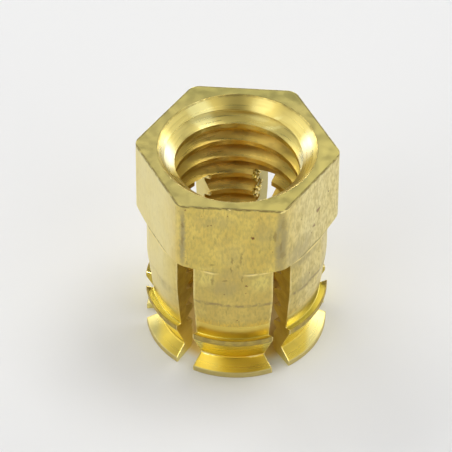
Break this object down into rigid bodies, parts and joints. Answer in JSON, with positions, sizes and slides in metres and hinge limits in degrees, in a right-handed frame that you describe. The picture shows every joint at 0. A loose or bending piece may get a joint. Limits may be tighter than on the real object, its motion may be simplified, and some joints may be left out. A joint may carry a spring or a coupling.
{
  "type": "threaded insert",
  "caption": "Push-in threaded insert of hexagonal brass bar, with a coned mouth, a through thread and a sleeve sawn into springy barbed fingers.",
  "frame": {"origin": "on the axis of the thread, at the level of the finger ends it stands on", "axes": "+Z along the thread, from the finger ends up through the mouth, and +X through two opposite corners of the hexagon"},
  "size_m": [0.0136, 0.0124, 0.0154],
  "materials": {
    "brass": "drawn bar skin, dull and scratched, with bright turned grooves and barbs"
  },
  "bodies": {
    "root": {"insert": "brass"}
  },
  "joints": []
}
